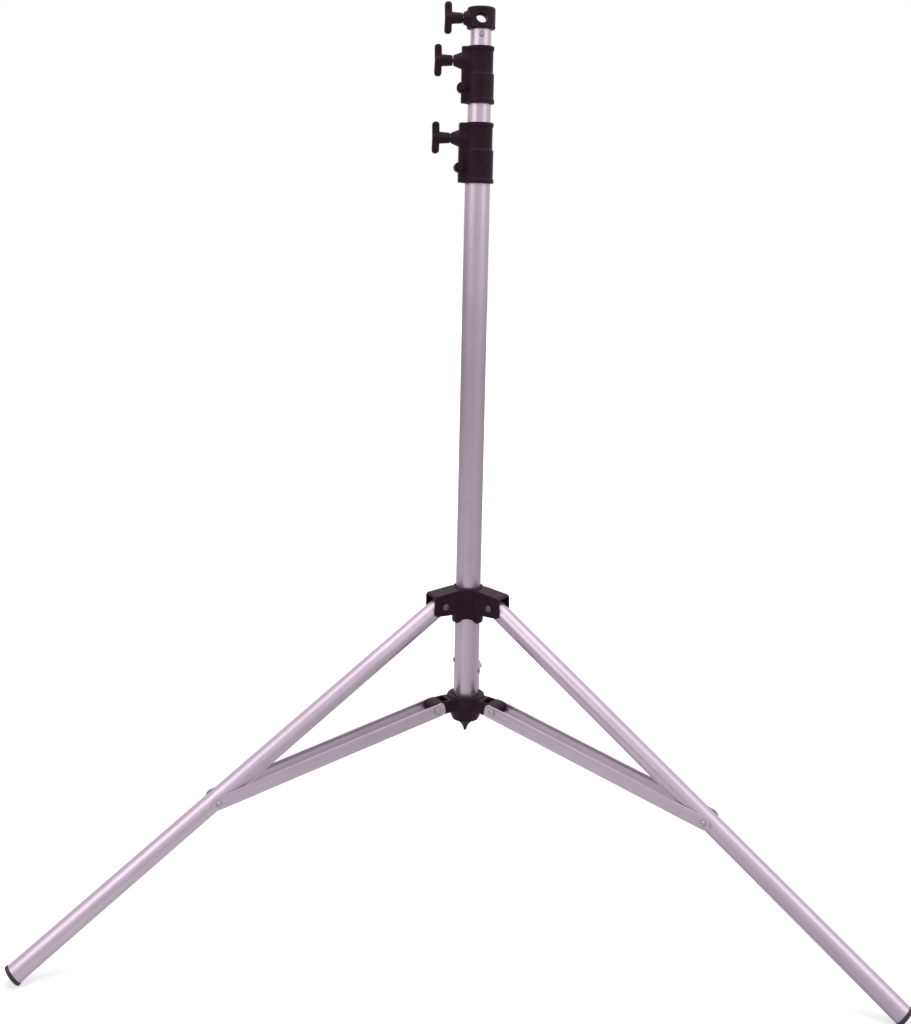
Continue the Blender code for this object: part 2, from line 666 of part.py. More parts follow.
def make_leg(side):
    """A leg tube with its pivot plug and its foot, along the X of its hinge."""
    hinge = bpy.data.objects["leg_hinge_" + side]
    end = LEG_LENGTH - FOOT_THICKNESS - SEAT_GAP
    bore_r = LEG_R - LEG_WALL
    leg_tube = tube("leg_tube_" + side, LEG_R, bore_r, -LEG_BEYOND_PIVOT, end, LEG_STEPS)
    leg_tube["finish"] = "aluminium"
    place(leg_tube, hinge, **along_x())

    plug_r = bore_r - SEAT_GAP
    plug_low = -LEG_BEYOND_PIVOT
    plug = turned(
        "leg_plug_" + side,
        [
            (plug_r, plug_low + LEG_PLUG_LENGTH),
            (plug_r, plug_low),
            (LEG_PLUG_MOUTH_R, plug_low),
            (LEG_PLUG_MOUTH_R, plug_low + LEG_PLUG_LENGTH),
        ],
        LEG_STEPS,
        ring=True,
    )
    plug["finish"] = "nylon"
    place(plug, hinge, **along_x())
    hole = pin_hole("leg_pin_hole_" + side, hinge, (0.0, 0.0, 0.0), LEG_R + CUT_MARGIN)
    brace_way = (BRACE_JOINT_ALONG_LEG, 0.0, 0.0)
    brace_hole = pin_hole("leg_brace_hole_" + side, hinge, brace_way, LEG_R + CUT_MARGIN)
    cut(leg_tube, hole, brace_hole)
    cut(plug, hole)

    foot = turned(
        "foot_" + side,
        [
            (0.0, LEG_LENGTH),
            (FOOT_R - FOOT_CHAMFER, LEG_LENGTH),
            (FOOT_R, LEG_LENGTH - FOOT_CHAMFER),
            (FOOT_R, LEG_LENGTH - FOOT_THICKNESS),
            (plug_r, LEG_LENGTH - FOOT_THICKNESS),
            (plug_r - FOOT_TAPER, LEG_LENGTH - FOOT_THICKNESS - FOOT_SPIGOT),
            (0.0, LEG_LENGTH - FOOT_THICKNESS - FOOT_SPIGOT),
        ][::-1],
        LEG_STEPS,
    )
    foot.modifiers["Screw"].use_normal_flip = True
    foot["finish"] = "rubber"
    place(foot, hinge, **along_x())
    foot_x = CROWN_PIVOT_R + LEG_LENGTH * math.cos(LEG_SLOPE)
    near = foot_x - FLOOR_CUT_DEPTH
    far = foot_x + FLOOR_CUT_DEPTH
    floor = plate(
        "floor_cut_" + side,
        [(near, -FLOOR_CUT_DEPTH), (far, -FLOOR_CUT_DEPTH), (far, 0.0), (near, 0.0)],
        4 * FOOT_R,
        helper=True,
    )
    cut(foot, place(floor, bpy.data.objects["stand"], turn=about_z(LEG_AZIMUTHS[side])))


def make_brace(side):
    """Two flat bars with round ends, pinned to the spider's arm and screwed to the leg's sides."""
    seat = bpy.data.objects["brace_hinge_" + side]
    hinge = empty("brace_line_" + side, seat, turn=(0.0, BRACE_SLOPE, 0.0))
    half = BRACE_WIDTH / 2
    outline = rounded(
        [
            (-BRACE_PIN_END, half),
            (BRACE_LENGTH + BRACE_END, half),
            (BRACE_LENGTH + BRACE_END, -half),
            (-BRACE_PIN_END, -half),
        ],
        [BRACE_PIN_CORNER_R, half * 0.98, half * 0.98, BRACE_PIN_CORNER_R],
        steps=CORNER_STEPS + 1,
    )
    middle = BRACE_INNER_Y + BRACE_THICKNESS / 2
    for mark, way in (("a", 1), ("b", -1)):
        name = side + "_" + mark
        bar = plate("brace_bar_" + name, outline, BRACE_THICKNESS)
        bar["finish"] = "aluminium"
        place(bar, hinge, (0.0, way * middle, 0.0))
        pin_way = (0.0, way * middle, 0.0)
        screw_way = (BRACE_LENGTH, way * middle, 0.0)
        pin_way_hole = pin_hole("brace_pin_hole_" + name, hinge, pin_way, BRACE_THICKNESS)
        screw_way_hole = pin_hole("brace_screw_hole_" + name, hinge, screw_way, BRACE_THICKNESS)
        cut(bar, pin_way_hole, screw_way_hole)
        seat_y = BRACE_THICKNESS + SEAT_GAP
        screw = turned(
            "brace_screw_" + name,
            [
                (0.0, seat_y + PIN_HEAD_HEIGHT),
                (BRACE_SCREW_HEAD_R * 0.7, seat_y + PIN_HEAD_HEIGHT),
                (BRACE_SCREW_HEAD_R, seat_y),
                (PIN_R, seat_y),
                (PIN_R, 0.0),
                (0.0, 0.0),
            ],
            PIN_STEPS,
        )
        screw["finish"] = "steel"
        place(screw, hinge, (BRACE_LENGTH, way * BRACE_INNER_Y, 0.0), (-way * math.pi / 2, 0.0, 0.0))


def make_riser(number, frame, radius, low, high, bore_outside):
    """A riser tube, the plug in its lower end, and the guide ring that turns on the plug's neck."""
    name = "riser_%d" % number
    bore_r = radius - TUBE_WALL
    riser = tube(name + "_tube", radius, bore_r, low, high, COLUMN_STEPS)
    riser["finish"] = "aluminium"
    place(riser, frame)
    spigot_r = bore_r - SEAT_GAP
    neck_r = spigot_r - END_PLUG_NECK_INSET
    plug = turned(
        name + "_end_plug",
        [
            (spigot_r, low + END_PLUG_SPIGOT),
            (spigot_r, low - SEAT_GAP),
            (neck_r, low - SEAT_GAP),
            (neck_r, low - END_PLUG_NECK),
            (radius - END_PLUG_FLANGE_INSET, low - END_PLUG_NECK),
            (radius - END_PLUG_FLANGE_INSET, low - END_PLUG_DROP),
            (END_PLUG_HOLE_R, low - END_PLUG_DROP),
            (END_PLUG_HOLE_R, low + END_PLUG_SPIGOT),
        ],
        COLUMN_STEPS,
        ring=True,
    )
    plug["finish"] = "nylon"
    place(plug, frame)
    ring_top = low - SEAT_GAP - SLIDE_GAP
    ring_out = bore_outside - SLIDE_GAP
    ring_low = ring_top - GUIDE_RING_LENGTH
    ring = tube(name + "_guide_ring", ring_out, neck_r + SLIDE_GAP, ring_low, ring_top, COLUMN_STEPS)
    ring["finish"] = "nylon"
    place(ring, empty(name + "_guide", frame.parent))


def make_clamp_screw(prefix, frame, start, boss_x, up):
    """A T-knob on its stud, and the pad at the stud's tip, along the X of the frame."""
    clamp = empty(prefix + "_clamp_axis", frame, (0.0, 0.0, up))
    pad_end = start + PRESSURE_PAD
    pad = rod(prefix + "_pressure_pad", STUD_R, start, pad_end, SMALL_STEPS, helper=False)
    pad["finish"] = "nylon"
    place(pad, clamp, **along_x())
    knob_start = boss_x + KNOB_OFF_BOSS
    axis = empty(prefix + "_knob_axis", clamp, (knob_start, 0.0, 0.0))
    tip = pad_end + SEAT_GAP - knob_start
    stud = turned(
        prefix + "_knob_stud",
        [
            (0.0, STUD_IN_KNOB),
            (STUD_R, STUD_IN_KNOB),
            (STUD_R, tip + STUD_CHAMFER),
            (STUD_R - STUD_CHAMFER, tip),
            (0.0, tip),
        ],
        SMALL_STEPS,
    )
    stud["finish"] = "steel"
    place(stud, axis, **along_x())

    bar_start = KNOB_HUB_LENGTH
    bar_end = bar_start + KNOB_BAR_THICKNESS
    half = KNOB_BAR_LENGTH / 2
    knob = turned(
        prefix + "_knob",
        [
            (0.0, bar_end - KNOB_CAP_INSET),
            (KNOB_HUB_R * 0.8, bar_end - KNOB_CAP_INSET),
            (KNOB_HUB_R, bar_start + KNOB_SHOULDER),
            (KNOB_HUB_R * 0.93, bar_start - 2 * KNOB_SHOULDER),
            (KNOB_NECK_R + KNOB_NECK_FLARE, KNOB_NECK_LENGTH),
            (KNOB_NECK_R, KNOB_CHAMFER),
            (KNOB_NECK_R - KNOB_CHAMFER, 0.0),
            (0.0, 0.0),
        ],
        SMALL_STEPS,
    )
    knob["finish"] = "black_plastic"
    place(knob, axis, **along_x())
    waist = KNOB_BAR_WAIST
    bar = plate(
        prefix + "_knob_bar",
        rounded(
            [
                (bar_start, 0.0),
                (bar_start + waist * 0.4, half),
                (bar_end - waist * 0.4, half),
                (bar_end - waist, 0.0),
                (bar_end - waist * 0.4, -half),
                (bar_start + waist * 0.4, -half),
            ],
            [0, KNOB_BAR_CORNER_R, KNOB_BAR_CORNER_R, 0, KNOB_BAR_CORNER_R, KNOB_BAR_CORNER_R],
        ),
        KNOB_BAR_WIDTH,
        bevel=KNOB_BEVEL,
        segments=2,
        helper=True,
    )
    join(knob, place(bar, axis))
    hole = rod(prefix + "_knob_hole", STUD_R + SEAT_GAP, -CUT_MARGIN, STUD_IN_KNOB + SEAT_GAP, SMALL_STEPS)
    cut(knob, place(hole, axis, **along_x()))


def stud_hole(prefix, frame, up, reach):
    made = rod(prefix + "_stud_hole", STUD_R + SEAT_GAP, 0.0, reach + CUT_MARGIN, SMALL_STEPS)
    return place(made, frame, **along_x((0.0, 0.0, up)))


def make_collar(prefix, frame, tube_r, riser_r, socket, knob_drop):
    """A collar, its bush, its clamp bolt and nut, and its T-knob. The frame's X points to the knob."""
    top = socket + GUIDE_LENGTH
    socket_r = tube_r + SOCKET_WALL
    guide_r = riser_r + GUIDE_WALL
    lip = COLLAR_LIP
    profile = [
        (0.0, top),
        (guide_r + lip, top),
        (guide_r + lip, top - COLLAR_LIP_HEIGHT),
        (guide_r, top - COLLAR_LIP_HEIGHT - lip),
        (guide_r, socket + COLLAR_STEP),
        (socket_r, socket - COLLAR_STEP),
        (socket_r, COLLAR_LIP_HEIGHT + lip),
        (socket_r + lip, COLLAR_LIP_HEIGHT),
        (socket_r + lip, 0.0),
        (0.0, 0.0),
    ]
    collar = turned(prefix + "_collar", profile, COLUMN_STEPS)
    collar["finish"] = "black_cast"
    place(collar, frame)

    block_x = tube_r + PAD_BLOCK
    half = PAD_BLOCK_WIDTH / 2
    corner = PAD_BLOCK_CORNER_R
    block = plate(
        prefix + "_collar_block",
        rounded([(0.0, -half), (block_x, -half), (block_x, half), (0.0, half)], [0, corner, corner, 0]),
        top - COLLAR_CHAMFER,
        bevel=COLLAR_CHAMFER,
        segments=1,
        helper=True,
        upright=False,
    )
    place(block, frame, (0.0, 0.0, top / 2))
    knob_up = top - knob_drop
    boss_x = tube_r + BOSS_REACH
    boss = turned(
        prefix + "_collar_boss",
        [
            (0.0, boss_x),
            (BOSS_TIP_R - BOSS_CHAMFER, boss_x),
            (BOSS_TIP_R, boss_x - BOSS_CHAMFER),
            (BOSS_BASE_R, block_x - BOSS_SUNK),
            (BOSS_BASE_R, block_x * 0.5),
            (0.0, block_x * 0.5),
        ],
        SMALL_STEPS,
        helper=True,
    )
    place(boss, frame, **along_x((0.0, 0.0, knob_up)))
    ear_x = tube_r + EAR_REACH
    ear_half = half + EAR_PROUD
    ear = rod(prefix + "_collar_ear", EAR_R, -ear_half, ear_half, SMALL_STEPS)
    place(ear, frame, **along_y((ear_x, 0.0, EAR_FROM_BOTTOM)))
    join(collar, block, boss, ear)

    socket_bore = rod(prefix + "_socket_bore", tube_r + SEAT_GAP, -CUT_MARGIN, socket, COLUMN_STEPS)
    bush_in = riser_r + SLIDE_GAP
    bush_out = bush_in + BUSH_WALL
    guide_bore = rod(
        prefix + "_guide_bore", bush_out + SEAT_GAP, socket - CUT_MARGIN, top + CUT_MARGIN, COLUMN_STEPS
    )
    slit_end = block_x + EAR_R + CUT_MARGIN
    slit_top = socket - SLIT_SHORT_OF_STEP
    slit = plate(
        prefix + "_slit",
        [(0.0, -CUT_MARGIN), (slit_end, -CUT_MARGIN), (slit_end, slit_top), (0.0, slit_top)],
        SLIT_WIDTH,
        helper=True,
    )
    bolt_reach = half + CUT_MARGIN
    bolt_hole = rod(prefix + "_bolt_hole", BOLT_R + SEAT_GAP, -bolt_reach, bolt_reach, PIN_STEPS)
    place(bolt_hole, frame, **along_y((ear_x, 0.0, EAR_FROM_BOTTOM)))
    stud_way = stud_hole(prefix, frame, knob_up, boss_x)
    bores = [place(bore, frame) for bore in (socket_bore, guide_bore)]
    cut(collar, place(slit, frame), bolt_hole, stud_way, *bores)

    bush_low = socket + SEAT_GAP + BUSH_INSET
    bush = tube(prefix + "_collar_bush", bush_out, bush_in, bush_low, top - BUSH_INSET, COLUMN_STEPS)
    bush["finish"] = "nylon"
    cut(place(bush, frame), stud_way)

    head_y = ear_half + SEAT_GAP
    bolt = turned(
        prefix + "_clamp_bolt",
        [
            (0.0, head_y + BOLT_HEAD_HEIGHT - BOLT_SOCKET_DEPTH),
            (BOLT_SOCKET_R, head_y + BOLT_HEAD_HEIGHT - BOLT_SOCKET_DEPTH),
            (BOLT_SOCKET_R, head_y + BOLT_HEAD_HEIGHT),
            (BOLT_HEAD_R - BOLT_CHAMFER, head_y + BOLT_HEAD_HEIGHT),
            (BOLT_HEAD_R, head_y + BOLT_HEAD_HEIGHT - BOLT_CHAMFER),
            (BOLT_HEAD_R, head_y),
            (BOLT_R, head_y),
            (BOLT_R, -head_y - NUT_HEIGHT - BOLT_PAST_NUT),
            (0.0, -head_y - NUT_HEIGHT - BOLT_PAST_NUT),
        ],
        PIN_STEPS,
    )
    bolt["finish"] = "black_steel"
    place(bolt, frame, (ear_x, 0.0, EAR_FROM_BOTTOM), (-math.pi / 2, 0.0, 0.0))
    nut = rod(prefix + "_clamp_nut", NUT_ACROSS_CORNERS_R, head_y, head_y + NUT_HEIGHT, 6, helper=False)
    nut["finish"] = "black_steel"
    place(nut, frame, **along_y((ear_x, 0.0, EAR_FROM_BOTTOM)))
    nut_end = head_y + NUT_HEIGHT + CUT_MARGIN
    nut_hole = rod(prefix + "_nut_hole", BOLT_R + SEAT_GAP, head_y - CUT_MARGIN, nut_end, PIN_STEPS)
    cut(nut, place(nut_hole, frame, **along_y((ear_x, 0.0, EAR_FROM_BOTTOM))))

    make_clamp_screw(prefix, frame, riser_r + SLIDE_GAP, boss_x, knob_up)


def make_receiver(frame):
    """The socket for a lamp's spigot, with its spigot in the riser, its boss and its T-knob."""
    spigot_r = RISER_2_BORE_R - SEAT_GAP
    edge_r = RECEIVER_R - RECEIVER_FILLET
    edge_z = RECEIVER_HEIGHT - RECEIVER_FILLET
    turns = [math.pi / 2 * step / CORNER_STEPS for step in range(CORNER_STEPS + 1)]
    fillet = [
        (edge_r + RECEIVER_FILLET * math.sin(turn), edge_z + RECEIVER_FILLET * math.cos(turn))
        for turn in turns
    ]
    profile = [
        (0.0, RECEIVER_HEIGHT),
        *fillet,
        (RECEIVER_R, RECEIVER_LIP_HEIGHT + RECEIVER_LIP),
        (RECEIVER_R + RECEIVER_LIP, RECEIVER_LIP_HEIGHT),
        (RECEIVER_R + RECEIVER_LIP, RECEIVER_CHAMFER),
        (RECEIVER_R + RECEIVER_LIP - RECEIVER_CHAMFER, 0.0),
        (spigot_r, 0.0),
        (spigot_r, -RECEIVER_SPIGOT),
        (0.0, -RECEIVER_SPIGOT),
    ]
    receiver = turned("top_receiver", profile, COLUMN_STEPS)
    receiver["finish"] = "black_cast"
    place(receiver, frame)
    boss = turned(
        "receiver_boss",
        [
            (0.0, RECEIVER_BOSS_X),
            (RECEIVER_BOSS_TIP_R - RECEIVER_CHAMFER, RECEIVER_BOSS_X),
            (RECEIVER_BOSS_TIP_R, RECEIVER_BOSS_X - RECEIVER_CHAMFER),
            (RECEIVER_BOSS_ROOT_R, RECEIVER_BOSS_ROOT_X),
            (0.0, RECEIVER_BOSS_ROOT_X),
        ],
        SMALL_STEPS,
        helper=True,
    )
    place(boss, frame, **along_x((0.0, 0.0, RECEIVER_CROSS_UP)))
    join(receiver, boss)
    trim = tube(
        "receiver_boss_trim",
        RECEIVER_R * 3,
        RECEIVER_R * 0.5,
        RECEIVER_HEIGHT,
        RECEIVER_HEIGHT + RECEIVER_BOSS_ROOT_R,
        SMALL_STEPS,
        helper=True,
    )
    bore = rod(
        "receiver_bore",
        RECEIVER_BORE_R,
        RECEIVER_BORE_FLOOR,
        RECEIVER_HEIGHT + CUT_MARGIN,
        SMALL_STEPS * 2,
    )
    reach = RECEIVER_R + CUT_MARGIN
    cross = rod("receiver_cross_hole", RECEIVER_BORE_R, -reach, reach, SMALL_STEPS)
    place(cross, frame, **along_y((0.0, 0.0, RECEIVER_CROSS_UP)))
    stud_way = stud_hole("receiver", frame, RECEIVER_CROSS_UP, RECEIVER_BOSS_X)
    rivet_seat = empty("receiver_rivet_seat", frame, (0.0, 0.0, -RECEIVER_RIVET_DROP), about_z(90))
    rivet_hole = small_rivet("receiver_rivet", rivet_seat, RISER_2_R, RECEIVER_RIVET_LENGTH)
    cut(bpy.data.objects["riser_2_tube"], rivet_hole)
    cut(receiver, place(trim, frame), place(bore, frame), cross, stud_way, rivet_hole)
    make_clamp_screw("top", frame, RECEIVER_BORE_R + SLIDE_GAP, RECEIVER_BOSS_X, RECEIVER_CROSS_UP)


def main():
    clear_scene()
    finishes = {
        "aluminium": material("aluminium", (0.66, 0.63, 0.67), 0.9, 0.36),
        "black_cast": material("black_cast", (0.030, 0.024, 0.030), 0.0, 0.45),
        "black_plastic": material("black_plastic", (0.024, 0.020, 0.024), 0.0, 0.38),
        "steel": material("steel", (0.40, 0.39, 0.40), 0.9, 0.40),
        "black_steel": material("black_steel", (0.040, 0.034, 0.038), 0.6, 0.42),
        "nylon": material("nylon", (0.055, 0.050, 0.055), 0.0, 0.55),
        "rubber": material("rubber", (0.060, 0.055, 0.060), 0.0, 0.75),
    }
    stand = bpy.data.objects.new("stand", None)
    parts.objects.link(stand)
    make_base(stand)
    make_spider(stand)
    make_crown(stand)
    for side in LEG_AZIMUTHS:
        make_leg(side)
        make_brace(side)

    lower = empty("lower_collar_seat", stand, (0.0, 0.0, LOWER_COLLAR_Z), about_z(LOWER_KNOB_AZIMUTH))
    make_collar("lower", lower, BASE_TUBE_R, RISER_1_R, LOWER_SOCKET, LOWER_KNOB_BELOW_TOP)
    riser_1 = empty("riser_1_axis", stand)
    make_riser(1, riser_1, RISER_1_R, RISER_1_BOTTOM, RISER_1_TOP, BASE_TUBE_BORE_R)
    upper = empty("upper_collar_seat", riser_1, (0.0, 0.0, UPPER_COLLAR_Z), about_z(UPPER_KNOB_AZIMUTH))
    make_collar("upper", upper, RISER_1_R, RISER_2_R, UPPER_SOCKET, UPPER_KNOB_BELOW_TOP)
    riser_2 = empty("riser_2_axis", riser_1)
    make_riser(2, riser_2, RISER_2_R, RISER_2_BOTTOM, RISER_2_TOP, RISER_1_BORE_R)
    top = empty("receiver_seat", riser_2, (0.0, 0.0, RECEIVER_Z), about_z(TOP_KNOB_AZIMUTH))
    make_receiver(top)

    finish(finishes)
    centre_footprint(stand)


main()
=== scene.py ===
"""Looks of the studio light stand: its materials, its fine pieces, the studio and the camera."""

import json
import math

import bmesh
import bpy
from mathutils import Matrix, Vector


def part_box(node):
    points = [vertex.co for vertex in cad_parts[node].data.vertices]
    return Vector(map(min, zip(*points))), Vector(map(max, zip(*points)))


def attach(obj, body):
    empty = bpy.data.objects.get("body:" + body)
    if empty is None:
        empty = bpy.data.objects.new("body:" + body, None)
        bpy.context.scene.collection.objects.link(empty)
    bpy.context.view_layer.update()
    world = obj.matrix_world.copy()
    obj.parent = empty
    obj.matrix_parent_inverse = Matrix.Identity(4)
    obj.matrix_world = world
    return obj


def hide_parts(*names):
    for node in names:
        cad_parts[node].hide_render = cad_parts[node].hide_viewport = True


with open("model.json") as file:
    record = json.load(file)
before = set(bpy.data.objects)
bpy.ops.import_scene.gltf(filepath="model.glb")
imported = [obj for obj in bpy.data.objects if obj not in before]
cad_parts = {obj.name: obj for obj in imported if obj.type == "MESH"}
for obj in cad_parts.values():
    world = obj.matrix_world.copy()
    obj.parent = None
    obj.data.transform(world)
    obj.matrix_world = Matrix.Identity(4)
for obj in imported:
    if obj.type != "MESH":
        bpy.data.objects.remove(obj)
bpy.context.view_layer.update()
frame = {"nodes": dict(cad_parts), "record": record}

UP = Vector((0.0, 0.0, 1.0))
SIDES = ("left", "right", "rear")
CLAMPS = ("lower", "upper", "top")

# The column's axis, from the base tube's box
tube_low, tube_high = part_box("base_tube")
AXIS = Vector(((tube_low.x + tube_high.x) / 2, (tube_low.y + tube_high.y) / 2, 0.0))

# Which body and material slot each CAD node has, and each joint by its name
BODIES = frame["record"]["behaviour"]["bodies"]
BODY_OF = {node: body for body, nodes in BODIES.items() for node in nodes}
SLOT_OF = {row["node"]: row["material_slot"] for row in frame["record"]["subparts"]}
JOINTS = {joint["name"]: joint for joint in frame["record"]["behaviour"]["joints"]}

# Camera, from where the photograph was taken
CAMERA_FROM_AXIS = Vector((0.04268, -1.7218, 0.9062))
CAMERA_TURN = math.radians(2.285)
CAMERA_PITCH = math.radians(-4.0)
CAMERA_ROLL = math.radians(1.263)
CAMERA_LENS = 43.344
CAMERA_SENSOR = 36.0
CAMERA_SHIFT_Y = -0.17624

# Studio
BACKGROUND_LEVEL = 1.0
FILL_LEVEL = 0.42
FLOOR_SIZE = 30.0
FLOOR_DROP = 0.0005
FLOOR_COLOUR = (0.86, 0.86, 0.86)
FLOOR_PALER = (0.88, 0.88, 0.88)
FLOOR_CLOUDS = 3.0
WHITE = (1.0, 1.0, 1.0, 1.0)
FLOOR_GLOW = 0.47
FLOOR_GLOW_FAR = 1.0
FLOOR_GLOW_FROM = 0.7
FLOOR_GLOW_TO = 2.6

# Lamps: name, place, aim, size and power
LAMPS = (
    ("key_left", (-2.6, -2.4, 3.0), (0.0, -0.1, 0.5), (3.0, 2.6), 44.0),
    ("key_right", (2.9, -1.6, 2.8), (0.0, -0.1, 0.5), (2.6, 2.6), 29.0),
    ("top_soft", (0.0, -0.4, 4.2), (0.0, -0.1, 0.0), (4.0, 3.0), 60.0),
)

# How bright the studio looks in the metal: the lit floor, near, far, at the sides, behind, above
FLOOR_LIT = 0.56
NEAR_LEFT = 0.86
NEAR_RIGHT = 0.60
MIRROR_FAR = 0.62
MIRROR_LEFT = 0.46
MIRROR_RIGHT = 1.06
MIRROR_BEHIND = 0.75
SKY_LOW = 0.58
SKY_HIGH = 1.16
SKY_LEFT = 0.96

# Where those levels change over: places on the floor in metres, and directions in the sky
NEAR_WIDTH = (-0.25, 0.25)
FAR_WIDTH = (-1.1, 0.9)
NEAR_TO_FAR = (0.7, 2.2)
FRONT_TO_BACK = (-0.6, 0.9)
SKY_RISE = (-0.05, 0.17)
SKY_LEFT_RISE = (0.0, 0.15)
SKY_WIDTH = (-0.7, 0.7)

# Aluminium: its two tones, its drawn grain, its streaks and clouds, and its hairline scratches
ALUMINIUM = (0.50, 0.415, 0.495)
ALUMINIUM_DARK = (0.42, 0.345, 0.41)
ALUMINIUM_METALLIC = 0.86
ALUMINIUM_ROUGHNESS = (0.29, 0.41)
TONE_FROM_TO = (0.3, 0.7)
DRAWN_GRAIN = (1400.0, 1400.0, 9.0)
DRAWN_BUMP = (0.06, 0.0002)
STREAK_GRAIN = (260.0, 260.0, 3.0)
CLOUD_SCALE = 14.0
CLOUD_SHARE = 0.55
HAIR_GRAIN = (90.0, 1900.0, 60.0)
HAIR_TURN = (0.35, 0.2, 0.5)
HAIR_FROM_TO = (0.68, 0.76)
HAIR_SHOWS = 0.10
HAIR_ROUGHER = 0.08
HAIR_BUMP = (0.04, 0.0001)
HAIR_COLOUR = (0.92, 0.88, 0.92)

# Detail and roughness of the noises
FINE_NOISE = (3.0, 0.6)
PLAIN_NOISE = (2.0, 0.5)
PATCH_NOISE = (4.0, 0.65)

# Coats and mouldings: name, colour, rubbed colour, roughness, grain, metallic, specular
COATS = (
    ("black_cast", (0.015, 0.005, 0.010), (0.024, 0.011, 0.018), 0.48, 900.0, 0.0, 0.14),
    ("black_plastic", (0.016, 0.006, 0.011), (0.024, 0.012, 0.018), 0.44, 1600.0, 0.0, 0.14),
    ("steel", (0.36, 0.31, 0.36), (0.46, 0.41, 0.46), 0.38, 1500.0, 0.75, 0.35),
    ("dull_steel", (0.11, 0.085, 0.105), (0.15, 0.12, 0.145), 0.45, 1500.0, 0.5, 0.35),
    ("black_steel", (0.016, 0.008, 0.012), (0.04, 0.03, 0.036), 0.40, 1500.0, 0.0, 0.2),
    ("nylon", (0.016, 0.010, 0.014), (0.026, 0.020, 0.024), 0.55, 1200.0, 0.0, 0.2),
    ("rubber", (0.060, 0.040, 0.052), (0.085, 0.065, 0.078), 0.70, 800.0, 0.0, 0.2),
)
COAT_TINT = (1.0, 0.72, 0.88)
PATCH_SCALE = 45.0
PATCH_FROM = 0.40
PATCH_TO = 0.80
PATCH_SMOOTHER = 0.06
PATCH_ROUGHER = 0.08
PEEL_BUMP = (0.12, 0.0003)
SPECKLE_SCALE = 600.0
SPECKLE_FROM_TO = (0.45, 0.65)
EDGE_SHOWS = 0.35
EDGE_FROM_TO = (0.53, 0.60)
EDGE_WEAR = 1.3

# Sockets of the colour mixing node
COLOUR_MIX_INPUTS = (0, 6, 7)
COLOUR_MIX_OUTPUT = 2

# What counts as no length, the same height or radius, and the same way
NO_LENGTH = 1e-6
SAME_HEIGHT = 1e-5
SAME_RADIUS = 1e-4
SAME_WAY = 1e-4

# Fine shapes
SHARP_ANGLE = 40.0
SMOOTH_ALL = 180.0
TUBE_STEPS = 96
SMALL_STEPS = 48
ROUND_STEPS = 3
ROUND_MOST = 0.45
RIM_ROUND = 0.00025
PIN_ROUND = 0.0004
STUD_ROUND = 0.0003
OWN_PLACE = "own_place"
CAST_FACETS = 24
PHASE_STEPS = 60
HUB_READ_FROM = 0.5
HUB_READ_TO = 1.05
HUB_FADE_END = 1.16
HUB_FADE = 0.12
CAST_VOXEL = 0.00045
CAST_SMOOTHING = 5
CAST_SMOOTH_SHARE = 0.5
CAST_KEEP = 0.16
KNOB_VOXEL = 0.00035
KNOB_SMOOTHING = 10
BASE_PLUG_SMOOTHING = 3
BAR_EDGE = 0.0004
BAR_EDGE_STEPS = 2
BAR_CORNER_STEPS = 8
BAR_TIP_STEPS = 14
BAR_HOLE_R = 0.0033
BAR_HOLE_STEPS = 32
BAR_TIP_SHARE = 0.98
BAR_SCREW_FROM_END = 0.0095
BAR_CORNER = 0.0055
FLOOR_LIFT = 0.0001
FOOT_DOME = 0.0012
FOOT_DOME_SHARE = 0.82
FOOT_ROUND = 0.0005
BOLT_SOCKET_R = 0.0021
BOLT_SOCKET_SIDES = 6
BOLT_RIM_INNER = 1.18
BOLT_RIM_OUTER = 1.3
BOLT_SOCKET_CLEAR = 0.0024
BOLT_SOCKET_EDGE = 0.0002
BOLT_SOCKET_WALL = 0.0018
BOLT_SOCKET_DEPTH = 0.0022

# Radius of the turned part of each casting, where its facets are made true
HUB_R = {
    "spider": 0.0265,
    "crown": 0.0235,
    "lower_collar": 0.0222,
    "upper_collar": 0.0207,
    "top_receiver": 0.0199,
    "base_plug": 0.0187,
}
KNOB_HUB_R = 0.0090


